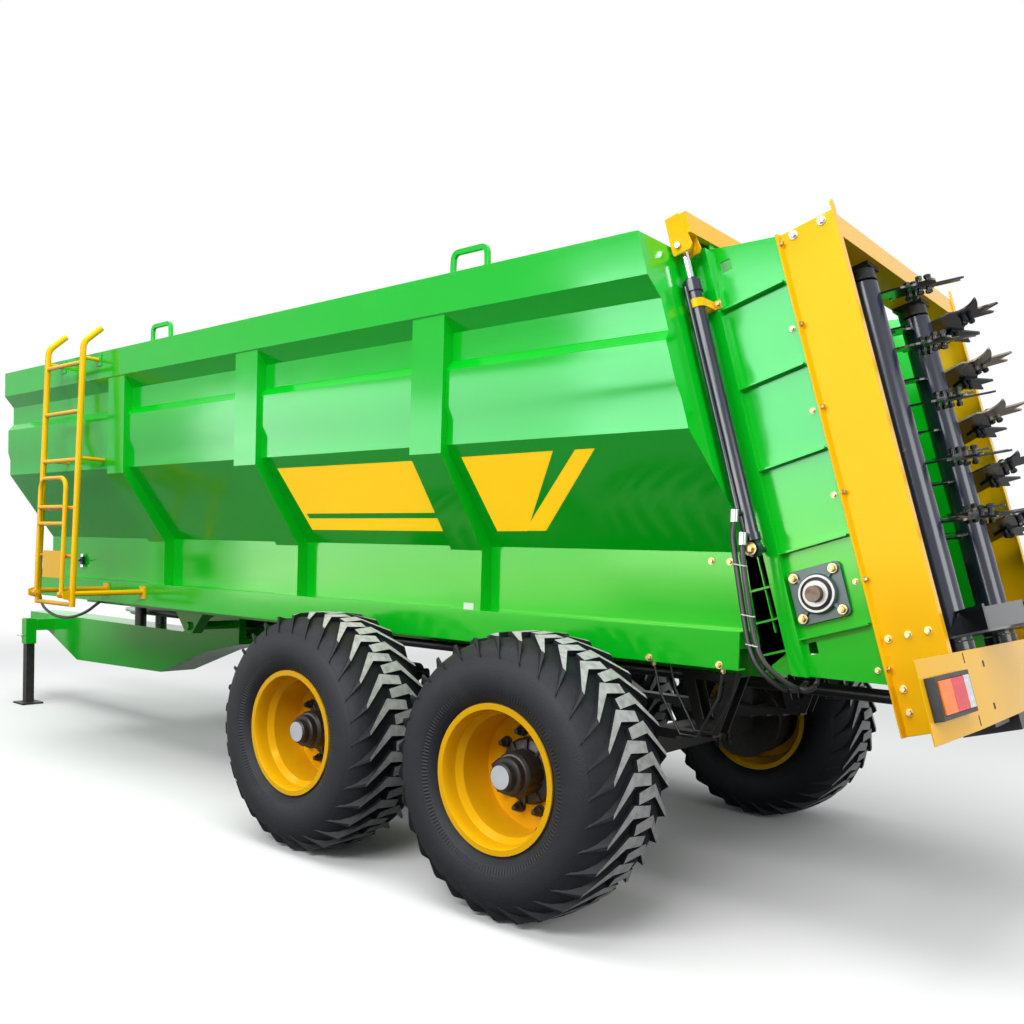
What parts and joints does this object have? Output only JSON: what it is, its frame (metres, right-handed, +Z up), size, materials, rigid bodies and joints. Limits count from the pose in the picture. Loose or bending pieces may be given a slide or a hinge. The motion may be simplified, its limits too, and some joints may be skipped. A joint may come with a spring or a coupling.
{
  "type": "manure spreader trailer",
  "caption": "Towed tandem-axle manure spreader with a ribbed open hopper, floor chain, sliding rear door and upright shredding beaters.",
  "frame": {"origin": "middle of the bounding box, on the ground", "axes": "+X towards the towing eye, +Y to the machine's left, +Z up"},
  "size_m": [8.7472, 2.756, 2.8589],
  "materials": {
    "green_paint": "gloss enamel",
    "yellow_paint": "gloss enamel",
    "black_paint": "satin enamel",
    "navy_paint": "satin enamel",
    "worn_steel": "bare, lightly worn",
    "chrome_rod": "polished",
    "bearing_cast": "painted casting",
    "cast_eye": "painted forging",
    "lamp_plastic": "clear ribbed lens in a black housing",
    "hose_rubber": "matt",
    "tyre": "matt"
  },
  "bodies": {
    "chassis": {"hopper_left": "green_paint", "hopper_right": "green_paint", "hopper_front": "green_paint", "lifting_lugs": "green_paint", "floor_panel": "green_paint", "floor_chain": "worn_steel", "floor_slats": "worn_steel", "floor_shaft": "worn_steel", "shaft_bearings": "bearing_cast", "sills": "green_paint", "chassis_rails": "green_paint", "crossmembers": "green_paint", "spring_hangers": "black_paint", "springs": "black_paint", "axles": "black_paint", "brakes": "black_paint", "rear_frame_left": "green_paint", "rear_frame_right": "green_paint", "post_left": "yellow_paint", "post_right": "yellow_paint", "top_beam": "yellow_paint", "bottom_beam": "navy_paint", "beater_bearings": "black_paint", "rear_guard": "yellow_paint", "tail_lamps": "black_paint", "lamp_lenses": "lamp_plastic", "gearbox": "black_paint", "driveline": "black_paint", "cylinders": "navy_paint", "cylinder_clamps": "yellow_paint", "drawbar": "green_paint", "drawbar_pivots": "green_paint", "drawbar_springs": "black_paint", "tow_eye": "cast_eye", "pto_input": "worn_steel", "jack_sleeve": "green_paint", "ladder": "yellow_paint", "hose_fittings": "worn_steel", "hose_rear": "hose_rubber", "hose_front": "hose_rubber"},
    "wheel_front_left": {"tyre_front_left": "tyre", "rim_front_left": "yellow_paint", "hub_front_left": "black_paint"},
    "wheel_rear_left": {"tyre_rear_left": "tyre", "rim_rear_left": "yellow_paint", "hub_rear_left": "black_paint"},
    "wheel_front_right": {"tyre_front_right": "tyre", "rim_front_right": "yellow_paint", "hub_front_right": "black_paint"},
    "wheel_rear_right": {"tyre_rear_right": "tyre", "rim_rear_right": "yellow_paint", "hub_rear_right": "black_paint"},
    "beater_left": {"beater_left": "navy_paint"},
    "beater_right": {"beater_right": "navy_paint"},
    "slurry_door": {"door_plate": "green_paint", "door_beam": "yellow_paint", "door_rods": "chrome_rod"},
    "jack_leg": {"jack_leg": "black_paint"},
    "ladder_step": {"ladder_step": "yellow_paint"}
  },
  "joints": [
    {"name": "wheel_front_left_spin", "type": "hinge", "parent": "chassis", "child": "wheel_front_left", "pos_m": [-1.37539, 1.133, 0.578], "axis": [0, 1, 0], "continuous": true},
    {"name": "wheel_rear_left_spin", "type": "hinge", "parent": "chassis", "child": "wheel_rear_left", "pos_m": [-2.68139, 1.133, 0.578], "axis": [0, 1, 0], "continuous": true},
    {"name": "wheel_front_right_spin", "type": "hinge", "parent": "chassis", "child": "wheel_front_right", "pos_m": [-1.37539, -1.133, 0.578], "axis": [0, 1, 0], "continuous": true},
    {"name": "wheel_rear_right_spin", "type": "hinge", "parent": "chassis", "child": "wheel_rear_right", "pos_m": [-2.68139, -1.133, 0.578], "axis": [0, 1, 0], "continuous": true},
    {"name": "beater_left_spin", "type": "hinge", "parent": "chassis", "child": "beater_left", "pos_m": [-3.94498, 0.325, 1.69793], "axis": [0.2874, 0, 0.9578], "continuous": true},
    {"name": "beater_right_spin", "type": "hinge", "parent": "chassis", "child": "beater_right", "pos_m": [-3.94498, -0.325, 1.69793], "axis": [0.2874, 0, 0.9578], "continuous": true},
    {"name": "door_slide", "type": "slide", "parent": "chassis", "child": "slurry_door", "axis": [0.2874, 0, 0.9578], "range_m": [0, 0.95]},
    {"name": "jack_slide", "type": "slide", "parent": "chassis", "child": "jack_leg", "axis": [0, 0, 1], "range_m": [0, 0.32]},
    {"name": "ladder_step_fold", "type": "hinge", "parent": "chassis", "child": "ladder_step", "pos_m": [1.23361, 1.314, 1.12], "axis": [-1, 0, 0], "range_deg": [0, 170]}
  ],
  "couplings": [
    {"joint": "beater_right_spin", "follows": "beater_left_spin", "ratio": -1}
  ]
}
